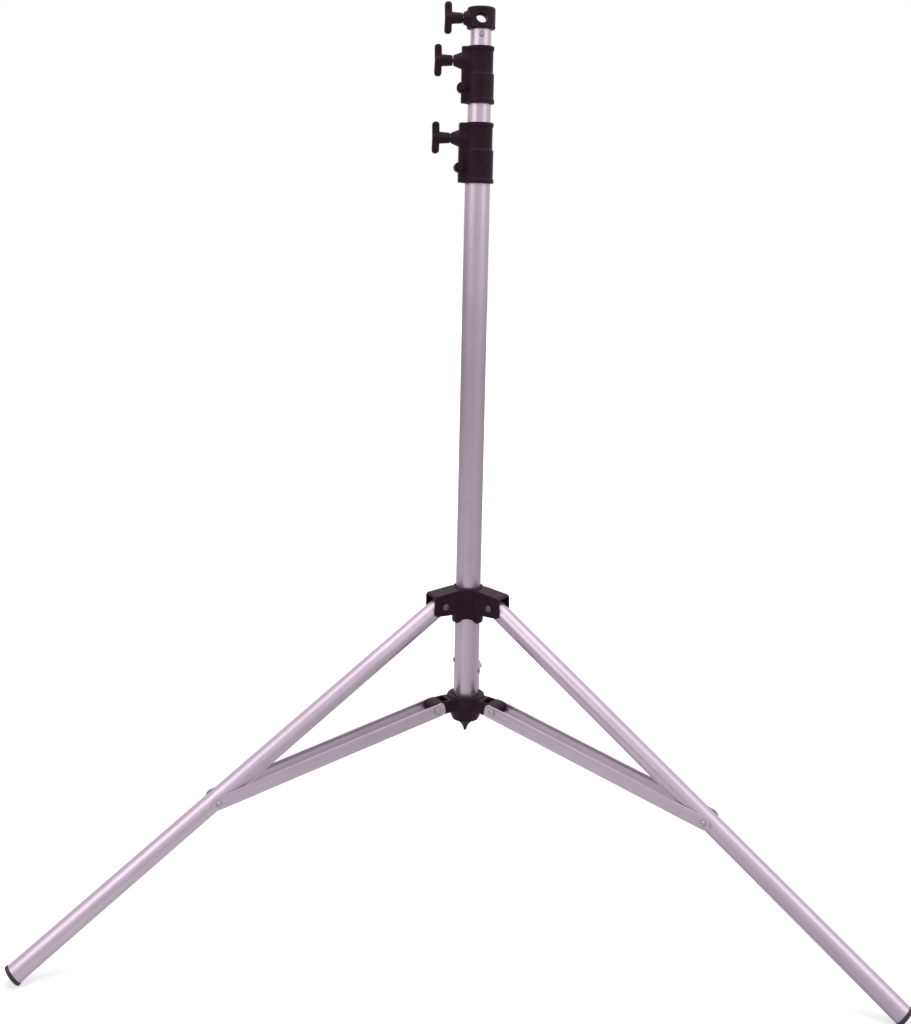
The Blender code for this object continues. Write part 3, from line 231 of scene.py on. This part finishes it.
class Shader:
    """A small helper that adds and links nodes in one material or world."""

    def __init__(self, tree):
        self.tree = tree

    def add(self, kind, inputs=None, **settings):
        node = self.tree.nodes.new(kind)
        for name, value in settings.items():
            setattr(node, name, value)
        for name, value in (inputs or {}).items():
            self.feed(node.inputs[name], value)
        return node

    def feed(self, socket, value):
        if isinstance(value, bpy.types.NodeSocket):
            self.tree.links.new(value, socket)
        else:
            socket.default_value = value

    def ramp(self, factor, stops):
        node = self.add("ShaderNodeValToRGB", {"Fac": factor})
        for element, (position, colour) in zip(node.color_ramp.elements, stops):
            element.position = position
            element.color = (*colour, 1.0)
        return node.outputs["Color"]

    def spread(self, value, low, high, start=0.0, end=1.0):
        """A value between start and end, spread over low to high."""
        node = self.add(
            "ShaderNodeMapRange",
            {"Value": value, "From Min": start, "From Max": end, "To Min": low, "To Max": high},
        )
        return node.outputs["Result"]

    def mix(self, factor, first, second):
        node = self.add("ShaderNodeMix", data_type="RGBA", blend_type="MIX")
        for socket, value in zip(COLOUR_MIX_INPUTS, (factor, first, second)):
            self.feed(node.inputs[socket], value)
        return node.outputs[COLOUR_MIX_OUTPUT]

    def maths(self, operation, first, second):
        node = self.add("ShaderNodeMath", operation=operation)
        self.feed(node.inputs[0], first)
        self.feed(node.inputs[1], second)
        return node.outputs[0]

    def noise(self, place, scale, detail, roughness, stretch=None, turn=(0.0, 0.0, 0.0)):
        if stretch:
            place = self.add(
                "ShaderNodeMapping", {"Vector": place, "Scale": stretch, "Rotation": turn}
            ).outputs["Vector"]
        node = self.add(
            "ShaderNodeTexNoise",
            {"Vector": place, "Scale": scale, "Detail": detail, "Roughness": roughness},
        )
        return node.outputs["Fac"]

    def bump(self, height, strength, distance, normal=None):
        node = self.add(
            "ShaderNodeBump", {"Height": height, "Strength": strength, "Distance": distance}
        )
        if normal is not None:
            self.feed(node.inputs["Normal"], normal)
        return node.outputs["Normal"]


def new_material(name):
    made = bpy.data.materials.new(name)
    made.use_nodes = True
    made.node_tree.nodes.clear()
    return made, Shader(made.node_tree)


def close_material(shader, inputs):
    principled = shader.add("ShaderNodeBsdfPrincipled", inputs)
    shader.add("ShaderNodeOutputMaterial", {"Surface": principled.outputs["BSDF"]})


def aluminium_material():
    """Satin anodised aluminium, drawn along its own Z, with hairline scratches and cloudy tone."""
    made, shader = new_material("anodised_aluminium")
    place = shader.add("ShaderNodeAttribute", attribute_name=OWN_PLACE).outputs["Vector"]
    drawn = shader.noise(place, 1.0, *FINE_NOISE, DRAWN_GRAIN)
    streaks = shader.noise(place, 1.0, *PLAIN_NOISE, STREAK_GRAIN)
    cloud = shader.noise(place, CLOUD_SCALE, *FINE_NOISE)
    hairs = shader.noise(place, 1.0, *PLAIN_NOISE, HAIR_GRAIN, HAIR_TURN)
    hair_mask = shader.spread(hairs, 0.0, 1.0, *HAIR_FROM_TO)
    factor = shader.maths(
        "ADD",
        shader.maths("MULTIPLY", cloud, CLOUD_SHARE),
        shader.maths("MULTIPLY", streaks, 1 - CLOUD_SHARE),
    )
    factor = shader.spread(factor, 0.0, 1.0, *TONE_FROM_TO)
    tone = shader.mix(factor, (*ALUMINIUM_DARK, 1.0), (*ALUMINIUM, 1.0))
    tone = shader.mix(shader.maths("MULTIPLY", hair_mask, HAIR_SHOWS), tone, (*HAIR_COLOUR, 1.0))
    roughness = shader.maths(
        "ADD",
        shader.spread(drawn, *ALUMINIUM_ROUGHNESS),
        shader.maths("MULTIPLY", hair_mask, HAIR_ROUGHER),
    )
    normal = shader.bump(drawn, *DRAWN_BUMP)
    normal = shader.bump(hair_mask, *HAIR_BUMP, normal)
    close_material(
        shader,
        {
            "Base Color": tone,
            "Metallic": ALUMINIUM_METALLIC,
            "Roughness": roughness,
            "Normal": normal,
        },
    )
    return made


def coated_material(name, colour, worn, roughness, grain, metallic, specular):
    """A coat or moulding: orange-peel grain, slightly paler rubbed patches and paler edges."""
    made, shader = new_material(name)
    place = shader.add("ShaderNodeTexCoord").outputs["Object"]
    peel = shader.noise(place, grain, *PLAIN_NOISE)
    patches = shader.noise(place, PATCH_SCALE, *PATCH_NOISE)
    tone = shader.ramp(patches, [(PATCH_FROM, colour), (PATCH_TO, worn)])
    edges = shader.add("ShaderNodeNewGeometry").outputs["Pointiness"]
    edge_mask = shader.spread(edges, 0.0, EDGE_SHOWS, *EDGE_FROM_TO)
    speckle = shader.noise(place, SPECKLE_SCALE, *PLAIN_NOISE)
    speckle = shader.spread(speckle, 0.0, 1.0, *SPECKLE_FROM_TO)
    edge_colour = (*[part * EDGE_WEAR for part in worn], 1.0)
    tone = shader.mix(shader.maths("MULTIPLY", edge_mask, speckle), tone, edge_colour)
    close_material(
        shader,
        {
            "Base Color": tone,
            "Metallic": metallic,
            "Specular IOR Level": specular,
            "Specular Tint": (*COAT_TINT, 1.0),
            "Roughness": shader.spread(
                patches, roughness - PATCH_SMOOTHER, roughness + PATCH_ROUGHER
            ),
            "Normal": shader.bump(peel, *PEEL_BUMP),
        },
    )
    return made


def make_materials():
    made = {"aluminium": aluminium_material()}
    for name, *looks in COATS:
        made[name] = coated_material(name, *looks)
    return made


def material_for(node, materials):
    """The material of the node's slot; the crown's pins are duller than the other steel."""
    if node.startswith("crown_pin"):
        return materials["dull_steel"]
    return materials[SLOT_OF[node]]


# Measuring the CAD's solids, so that each fine piece has their size

def points_of(node):
    return [vertex.co.copy() for vertex in frame["nodes"][node].data.vertices]


def upright(axis):
    """A turn that takes Z to the axis and keeps Y level."""
    axis = axis.normalized()
    level = UP.cross(axis)
    level = level.normalized() if level.length > SAME_WAY else Vector((0.0, 1.0, 0.0))
    return Matrix((level.cross(axis), level, axis)).transposed()


def seat_of(node, axis):
    """The matrix of a frame on the node's own axis, and its points in that frame."""
    turn = upright(axis)
    points = [turn.transposed() @ point for point in points_of(node)]
    middle = [
        (min(point[i] for point in points) + max(point[i] for point in points)) / 2
        for i in range(2)
    ]
    origin = turn @ Vector((middle[0], middle[1], 0.0))
    matrix = Matrix.Translation(origin) @ turn.to_4x4()
    inverse = matrix.inverted()
    return matrix, [inverse @ point for point in points_of(node)]


def outline_of(points):
    """The turned outline of a solid's points: each height once or twice, from low to high."""
    rows = {}
    for point in points:
        rows.setdefault(round(point.z, 6), set()).add(round(math.hypot(point.x, point.y), 5))
    outline = []
    reach = 0.0
    for height in sorted(rows):
        radii = [max(rows[height])]
        small = min(rows[height])
        if radii[0] - small > SAME_RADIUS:
            radii.append(small)
        radii.sort(key=lambda radius: abs(radius - reach))
        outline.extend((radius, height) for radius in radii)
        reach = radii[-1]
    return outline


def softened(outline, size, closed=False):
    """The outline with each of its corners rounded by about this size."""
    corners = [Vector(point[:2]) for point in outline]
    count = len(corners)
    made = []
    for index, corner in enumerate(corners):
        if not closed and index in (0, count - 1):
            made.append(tuple(corner))
            continue
        ways = (corners[index - 1] - corner, corners[(index + 1) % count] - corner)
        if ways[0].length < NO_LENGTH or ways[1].length < NO_LENGTH:
            made.append(tuple(corner))
            continue
        ends = [
            corner + way.normalized() * min(size, way.length * ROUND_MOST) for way in ways
        ]
        for step in range(ROUND_STEPS + 1):
            share = step / ROUND_STEPS
            left = 1 - share
            point = ends[0] * left ** 2 + corner * 2 * share * left + ends[1] * share ** 2
            made.append(tuple(point))
    return made


def lathe(name, outline, steps=TUBE_STEPS, closed=False):
    """A turned mesh. A third value in an outline point gives that ring so many flat sides."""
    mesh = bmesh.new()
    rings = []
    for radius, height, *sides in outline:
        if radius < NO_LENGTH:
            rings.append([mesh.verts.new((0.0, 0.0, height))])
            continue
        ring = []
        for step in range(steps):
            angle = 2 * math.pi * step / steps
            reach = radius
            if sides:
                part = 2 * math.pi / sides[0]
                reach = radius / math.cos((angle + part / 2) % part - part / 2)
            ring.append(mesh.verts.new((reach * math.cos(angle), reach * math.sin(angle), height)))
        rings.append(ring)
    pairs = list(zip(rings, rings[1:]))
    if closed:
        pairs.append((rings[-1], rings[0]))
    for low, high in pairs:
        for step in range(steps):
            after = (step + 1) % steps
            corners = [low[step % len(low)], low[after % len(low)]]
            corners += [high[after % len(high)], high[step % len(high)]]
            corners = list(dict.fromkeys(corners))
            if len(corners) > 2:
                mesh.faces.new(corners)
    bmesh.ops.recalc_face_normals(mesh, faces=mesh.faces)
    made = bpy.data.meshes.new(name)
    mesh.to_mesh(made)
    mesh.free()
    return made


def finish_piece(name, mesh, matrix, nodes, material, sharp=SHARP_ANGLE):
    """Puts a fine piece in its CAD nodes' place, on their body; each point keeps its own place."""
    own_place = mesh.attributes.new(OWN_PLACE, "FLOAT_VECTOR", "POINT")
    own_place.data.foreach_set("vector", [part for vertex in mesh.vertices for part in vertex.co])
    mesh.transform(matrix)
    piece = bpy.data.objects.new(name, mesh)
    bpy.context.scene.collection.objects.link(piece)
    mesh.shade_smooth()
    mesh.set_sharp_from_angle(angle=math.radians(sharp))
    mesh.materials.clear()
    mesh.materials.append(material)
    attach(piece, BODY_OF[nodes[0]])
    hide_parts(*nodes)


# Turned pieces

def leg_axis(side):
    low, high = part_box("leg_tube_" + side)
    return ((low + high) / 2 - Vector(JOINTS["leg_" + side + "_fold"]["pos_m"])).normalized()


def knob_axis(which):
    return Vector(JOINTS[which + "_knob_turn"]["axis"])


def rivet_axis(node):
    """The way a rivet's head faces, level and away from the column's axis."""
    low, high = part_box(node)
    way = (low + high) / 2 - AXIS
    way.z = 0.0
    return way.normalized()


def fine_tube(node, axis, materials):
    """A tube of the node's size, with its wall, its bore and rounded rims."""
    matrix, points = seat_of(node, axis)
    low = min(point.z for point in points)
    high = max(point.z for point in points)
    ends = [math.hypot(point.x, point.y) for point in points if high - point.z < SAME_HEIGHT]
    outer, inner = max(ends), min(ends)
    corners = [(inner, low), (outer, low), (outer, high), (inner, high)]
    outline = softened(corners, RIM_ROUND, closed=True)
    mesh = lathe(node, outline, closed=True)
    finish_piece("fine_" + node, mesh, matrix, [node], material_for(node, materials))


def fine_turned(node, axis, materials, socket=0.0, size=PIN_ROUND):
    """A pin, rivet, screw or stud in more steps, with a six-sided socket where it has one."""
    matrix, points = seat_of(node, axis)
    if socket:
        low = min(point.z for point in points)
        points = [
            point
            for point in points
            if point.z < low + SAME_HEIGHT or math.hypot(point.x, point.y) > BOLT_SOCKET_CLEAR
        ]
    outline = outline_of(points)
    if outline[0][0] > NO_LENGTH:
        outline.insert(0, (0.0, outline[0][1]))
    if outline[-1][0] > NO_LENGTH:
        outline.append((0.0, outline[-1][1]))
    outline = softened(outline, size)
    if socket:
        top = outline[-1][1]
        outline = [
            point
            for point in outline
            if point[1] < top - NO_LENGTH or point[0] > socket * BOLT_RIM_OUTER
        ]
        outline += [
            (socket * BOLT_RIM_INNER, top),
            (socket, top - BOLT_SOCKET_EDGE, BOLT_SOCKET_SIDES),
            (socket, top - BOLT_SOCKET_WALL, BOLT_SOCKET_SIDES),
            (0.0, top - BOLT_SOCKET_DEPTH),
        ]
    mesh = lathe(node, outline, SMALL_STEPS)
    finish_piece("fine_" + node, mesh, matrix, [node], material_for(node, materials))


def fine_foot(side, materials):
    """The end plug of a leg: a ribbed spigot and a thin flange that stands flat on the floor."""
    node = "foot_" + side
    matrix, points = seat_of(node, leg_axis(side))
    outline = outline_of([point for point in points if (matrix @ point).z > FLOOR_LIFT])
    top = max(point.z for point in points)
    outer = max(radius for radius, height in outline)
    outline = [point for point in outline if point[1] < top - FOOT_DOME]
    outline += [(outer, top - FOOT_DOME), (outer * FOOT_DOME_SHARE, top), (0.0, top)]
    mesh = lathe(node, softened([(0.0, outline[0][1])] + outline, FOOT_ROUND))
    turned = matrix.to_3x3()
    normal = turned.transposed() @ UP
    for vertex in mesh.vertices:
        depth = (matrix @ vertex.co).z
        if depth < 0:
            vertex.co -= normal * depth
    finish_piece("fine_" + node, mesh, matrix, [node], material_for(node, materials))


def make_turned_pieces(materials):
    for node in ("base_tube", "riser_1_tube", "riser_2_tube"):
        fine_tube(node, UP, materials)
    fine_tube("crown_bush", UP, materials)
    for node in ("receiver_rivet", "rest_rivet_left", "rest_rivet_right"):
        fine_turned(node, rivet_axis(node), materials)
    for side in SIDES:
        fine_tube("leg_tube_" + side, leg_axis(side), materials)
        fine_foot(side, materials)
        across = Vector(JOINTS["leg_" + side + "_fold"]["axis"])
        for node in ("crown_pin_" + side, "spider_pin_" + side):
            fine_turned(node, across, materials)
        middle = AXIS.dot(across)
        for half in ("a", "b"):
            node = "brace_screw_" + side + "_" + half
            low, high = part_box(node)
            way = 1 if (low + high).dot(across) / 2 > middle else -1
            fine_turned(node, across * way, materials)
    for which in CLAMPS:
        fine_turned(which + "_knob_stud", knob_axis(which), materials, size=STUD_ROUND)
    for which in ("lower", "upper"):
        across = UP.cross(knob_axis(which))
        points = seat_of(which + "_clamp_bolt", across)[1]
        widest = max(points, key=lambda point: math.hypot(point.x, point.y))
        middle = (min(point.z for point in points) + max(point.z for point in points)) / 2
        head = across if widest.z > middle else -across
        fine_turned(which + "_clamp_bolt", head, materials, socket=BOLT_SOCKET_R)


# Flat brace bars

def arc(centre, radius, start, end, count):
    return [
        (
            centre[0] + radius * math.cos(start + (end - start) * step / count),
            centre[1] + radius * math.sin(start + (end - start) * step / count),
        )
        for step in range(count + 1)
    ]


def evaluated_mesh(piece):
    """A new mesh of the object with its curve or modifiers worked out."""
    graph = bpy.context.evaluated_depsgraph_get()
    return bpy.data.meshes.new_from_object(piece.evaluated_get(graph))


def weld(mesh):
    made = bmesh.new()
    made.from_mesh(mesh)
    bmesh.ops.remove_doubles(made, verts=made.verts, dist=NO_LENGTH)
    bmesh.ops.recalc_face_normals(made, faces=made.faces)
    made.to_mesh(mesh)
    made.free()


def fine_bar(side, half, materials):
    """One flat bar of a brace, with rounded ends, eased edges and its two holes."""
    node = "brace_bar_" + side + "_" + half
    hinge = JOINTS["brace_" + side + "_fold"]
    across = Vector(JOINTS["leg_" + side + "_fold"]["axis"])
    low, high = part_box(node)
    centre = (low + high) / 2
    hinge_at = Vector(hinge["pos_m"])
    offset = (centre - hinge_at).dot(across)
    along = (centre - hinge_at - across * offset).normalized()
    turn = Matrix((across.cross(along), across, along)).transposed()
    matrix = Matrix.Translation(hinge_at + across * offset) @ turn.to_4x4()
    inverse = matrix.inverted()
    points = [inverse @ point for point in points_of(node)]
    start = min(point.z for point in points)
    end = max(point.z for point in points)
    half_width = max(point.x for point in points)
    thickness = max(point.y for point in points) * 2
    screw = end - BAR_SCREW_FROM_END
    corner = BAR_CORNER
    tip = half_width * BAR_TIP_SHARE
    quarter = math.pi / 2
    lower = start + corner
    upper = end - tip
    outline = arc((lower, half_width - corner), corner, 2 * quarter, quarter, BAR_CORNER_STEPS)
    outline += arc((upper, half_width - tip), tip, quarter, 0.0, BAR_TIP_STEPS)
    outline += arc((upper, tip - half_width), tip, 0.0, -quarter, BAR_TIP_STEPS)
    outline += arc(
        (lower, corner - half_width), corner, -quarter, -2 * quarter, BAR_CORNER_STEPS
    )
    curve = bpy.data.curves.new(node, "CURVE")
    curve.dimensions = "2D"
    curve.fill_mode = "BOTH"
    curve.extrude = thickness / 2 - BAR_EDGE
    curve.bevel_depth = BAR_EDGE
    curve.bevel_resolution = BAR_EDGE_STEPS
    curve.offset = -BAR_EDGE
    loops = [outline]
    for place in (0.0, screw):
        last = BAR_HOLE_STEPS - 1
        loops.append(arc((place, 0.0), BAR_HOLE_R, 0.0, 2 * math.pi * last / BAR_HOLE_STEPS, last))
    for loop in loops:
        spline = curve.splines.new("POLY")
        spline.points.add(len(loop) - 1)
        for point, (x, y) in zip(spline.points, loop):
            point.co = (x, y, 0.0, 1.0)
        spline.use_cyclic_u = True
    drawn = bpy.data.objects.new(node + "_outline", curve)
    bpy.context.scene.collection.objects.link(drawn)
    mesh = evaluated_mesh(drawn)
    bpy.data.objects.remove(drawn)
    stand_up = Matrix(((0, 1, 0), (0, 0, 1), (1, 0, 0))).to_4x4()
    mesh.transform(stand_up)
    weld(mesh)
    finish_piece("fine_" + node, mesh, matrix, [node], material_for(node, materials))


# Castings and mouldings

def round_facets(mesh, points, hub_r):
    """Pushes the flats of a solid that was turned in steps out to the true circle."""
    part = 2 * math.pi / CAST_FACETS
    votes = {}
    for point in points:
        radius = math.hypot(point.x, point.y)
        if HUB_READ_FROM * hub_r < radius < hub_r * HUB_READ_TO:
            turn = math.atan2(point.y, point.x) % part
            key = round(turn / part * PHASE_STEPS) % PHASE_STEPS
            votes[key] = votes.get(key, 0) + 1
    phase = max(votes, key=votes.get) / PHASE_STEPS * part
    for vertex in mesh.vertices:
        radius = math.hypot(vertex.co.x, vertex.co.y)
        if radius < SAME_HEIGHT:
            continue
        share = min(max((hub_r * HUB_FADE_END - radius) / (hub_r * HUB_FADE), 0.0), 1.0)
        turn = (math.atan2(vertex.co.y, vertex.co.x) - phase) % part - part / 2
        factor = 1 + (math.cos(turn) / math.cos(part / 2) - 1) * share
        vertex.co.x *= factor
        vertex.co.y *= factor


def changed(piece, *modifiers):
    """The piece's mesh after these modifiers, which are taken off again."""
    for kind, settings in modifiers:
        modifier = piece.modifiers.new(kind.lower(), kind)
        for name, value in settings.items():
            setattr(modifier, name, value)
    mesh = evaluated_mesh(piece)
    piece.modifiers.clear()
    return mesh


def keep_inside(mesh, points):
    """Holds the skin inside its solid's box."""
    low = [min(point[i] for point in points) for i in range(3)]
    high = [max(point[i] for point in points) for i in range(3)]
    for vertex in mesh.vertices:
        for i in range(3):
            vertex.co[i] = min(max(vertex.co[i], low[i]), high[i])


def fine_casting(node, axis, hub_r, materials, voxel=CAST_VOXEL, passes=CAST_SMOOTHING):
    """A casting's fine skin: its solid in a fine mesh, true round, with its edges eased as cast."""
    matrix, points = seat_of(node, axis)
    if node != "base_plug" and "knob" not in node:
        matrix = Matrix.Translation(Vector((AXIS.x, AXIS.y, 0.0)))
        points = [point - matrix.translation for point in points_of(node)]
    mesh = frame["nodes"][node].data.copy()
    mesh.transform(matrix.inverted())
    piece = bpy.data.objects.new(node + "_source", mesh)
    bpy.context.scene.collection.objects.link(piece)
    dense = changed(piece, ("REMESH", {"mode": "VOXEL", "voxel_size": voxel, "adaptivity": 0.0}))
    round_facets(dense, points, hub_r)
    piece.data = dense
    smooth = changed(
        piece,
        ("SMOOTH", {"factor": CAST_SMOOTH_SHARE, "iterations": passes}),
        ("DECIMATE", {"ratio": CAST_KEEP}),
    )
    bpy.data.objects.remove(piece)
    keep_inside(smooth, points)
    material = material_for(node, materials)
    finish_piece("fine_" + node, smooth, matrix, [node], material, SMOOTH_ALL)


def make_castings(materials):
    for node, hub_r in HUB_R.items():
        passes = BASE_PLUG_SMOOTHING if node == "base_plug" else CAST_SMOOTHING
        fine_casting(node, UP, hub_r, materials, passes=passes)
    for which in CLAMPS:
        fine_casting(
            which + "_knob",
            knob_axis(which),
            KNOB_HUB_R,
            materials,
            KNOB_VOXEL,
            KNOB_SMOOTHING,
        )


def dress_cad_nodes(materials):
    for name, node in frame["nodes"].items():
        node.data.materials.clear()
        node.data.materials.append(material_for(name, materials))


# Studio

def seen_level(shader, plain, reflected):
    """One level for the camera and clear pieces and one for reflections; lighting gets none."""
    rays = shader.add("ShaderNodeLightPath").outputs
    straight = shader.maths("MAXIMUM", rays["Is Camera Ray"], rays["Is Transmission Ray"])
    return shader.maths(
        "ADD",
        shader.maths("MULTIPLY", straight, plain),
        shader.maths("MULTIPLY", rays["Is Glossy Ray"], reflected),
    )


def make_floor():
    made, shader = new_material("studio_floor")
    place = shader.add("ShaderNodeNewGeometry").outputs["Position"]
    grain = shader.noise(place, FLOOR_CLOUDS, *PLAIN_NOISE)
    tone = shader.mix(grain, (*FLOOR_COLOUR, 1.0), (*FLOOR_PALER, 1.0))
    diffuse = shader.add("ShaderNodeBsdfDiffuse", {"Color": tone})
    measure = shader.add("ShaderNodeVectorMath", {0: place, 1: AXIS}, operation="DISTANCE")
    away = measure.outputs["Value"]
    glow = shader.spread(away, FLOOR_GLOW, FLOOR_GLOW_FAR, FLOOR_GLOW_FROM, FLOOR_GLOW_TO)
    parts = shader.add("ShaderNodeSeparateXYZ", {"Vector": place}).outputs
    near = shader.spread(parts["X"], NEAR_LEFT, NEAR_RIGHT, *NEAR_WIDTH)
    sideways = shader.spread(parts["X"], MIRROR_LEFT, MIRROR_RIGHT, *FAR_WIDTH)
    far = shader.maths("MULTIPLY", MIRROR_FAR, sideways)
    share = shader.spread(away, 0.0, 1.0, *NEAR_TO_FAR)
    mirrored = shader.maths(
        "ADD",
        shader.maths("MULTIPLY", far, share),
        shader.maths("MULTIPLY", near, shader.maths("SUBTRACT", 1.0, share)),
    )
    behind = shader.spread(parts["Y"], 1.0, MIRROR_BEHIND, *FRONT_TO_BACK)
    mirrored = shader.maths("MULTIPLY", mirrored, behind)
    # The lit floor is added to what glows, so a reflection takes the lit part off
    level = seen_level(shader, glow, shader.maths("SUBTRACT", mirrored, FLOOR_LIT))
    strength = shader.maths("MAXIMUM", level, 0.0)
    glowing = shader.add("ShaderNodeEmission", {"Color": WHITE, "Strength": strength})
    both = shader.add(
        "ShaderNodeAddShader", {0: diffuse.outputs["BSDF"], 1: glowing.outputs["Emission"]}
    )
    shader.add("ShaderNodeOutputMaterial", {"Surface": both.outputs["Shader"]})

    mesh = bpy.data.meshes.new("studio_floor")
    half = FLOOR_SIZE / 2
    corners = [(-half, -half, 0), (half, -half, 0), (half, half, 0), (-half, half, 0)]
    mesh.from_pydata(corners, [], [(0, 1, 2, 3)])
    floor = bpy.data.objects.new("studio_floor", mesh)
    floor.location = (0.0, 0.0, -FLOOR_DROP)
    bpy.context.scene.collection.objects.link(floor)
    floor.data.materials.append(made)


def make_world():
    world = bpy.data.worlds.new("studio_world")
    bpy.context.scene.world = world
    world.use_nodes = True
    world.node_tree.nodes.clear()
    shader = Shader(world.node_tree)
    way = shader.add("ShaderNodeTexCoord").outputs["Generated"]
    parts = shader.add("ShaderNodeSeparateXYZ", {"Vector": way}).outputs
    mirrored = shader.spread(parts["Z"], SKY_LOW, SKY_HIGH, *SKY_RISE)
    left = shader.spread(parts["Z"], MIRROR_LEFT, SKY_LEFT, *SKY_LEFT_RISE)
    sideways = shader.spread(parts["X"], 0.0, 1.0, *SKY_WIDTH)
    gained = shader.maths("MULTIPLY", sideways, shader.maths("SUBTRACT", 1.0, left))
    mirrored = shader.maths("MULTIPLY", mirrored, shader.maths("ADD", left, gained))
    rays = shader.add("ShaderNodeLightPath").outputs
    seen = seen_level(shader, BACKGROUND_LEVEL, mirrored)
    lighting = shader.maths("MULTIPLY", rays["Is Diffuse Ray"], FILL_LEVEL)
    level = shader.maths("ADD", seen, lighting)
    background = shader.add("ShaderNodeBackground", {"Color": WHITE, "Strength": level})
    shader.add("ShaderNodeOutputWorld", {"Surface": background.outputs["Background"]})


def make_lamp(name, location, aim, size, power):
    light = bpy.data.lights.new(name, "AREA")
    light.shape = "RECTANGLE"
    light.size = size[0]
    light.size_y = size[1]
    light.energy = power
    lamp = bpy.data.objects.new(name, light)
    lamp.location = location
    lamp.rotation_euler = (Vector(aim) - Vector(location)).to_track_quat("-Z", "Y").to_euler()
    bpy.context.scene.collection.objects.link(lamp)


def make_camera():
    data = bpy.data.cameras.new("camera")
    data.lens = CAMERA_LENS
    data.sensor_width = CAMERA_SENSOR
    data.shift_y = CAMERA_SHIFT_Y
    camera = bpy.data.objects.new("camera", data)
    camera.location = AXIS + CAMERA_FROM_AXIS
    turn = (
        Matrix.Rotation(CAMERA_TURN, 3, "Z")
        @ Matrix.Rotation(math.radians(90) + CAMERA_PITCH, 3, "X")
        @ Matrix.Rotation(CAMERA_ROLL, 3, "Z")
    )
    camera.rotation_euler = turn.to_euler()
    bpy.context.scene.collection.objects.link(camera)
    bpy.context.scene.camera = camera


bpy.context.scene.view_settings.view_transform = "Standard"
all_materials = make_materials()
dress_cad_nodes(all_materials)
make_turned_pieces(all_materials)
for bar_side in SIDES:
    for bar_half in ("a", "b"):
        fine_bar(bar_side, bar_half, all_materials)
make_castings(all_materials)
make_floor()
make_world()
for lamp_row in LAMPS:
    make_lamp(*lamp_row)
make_camera()
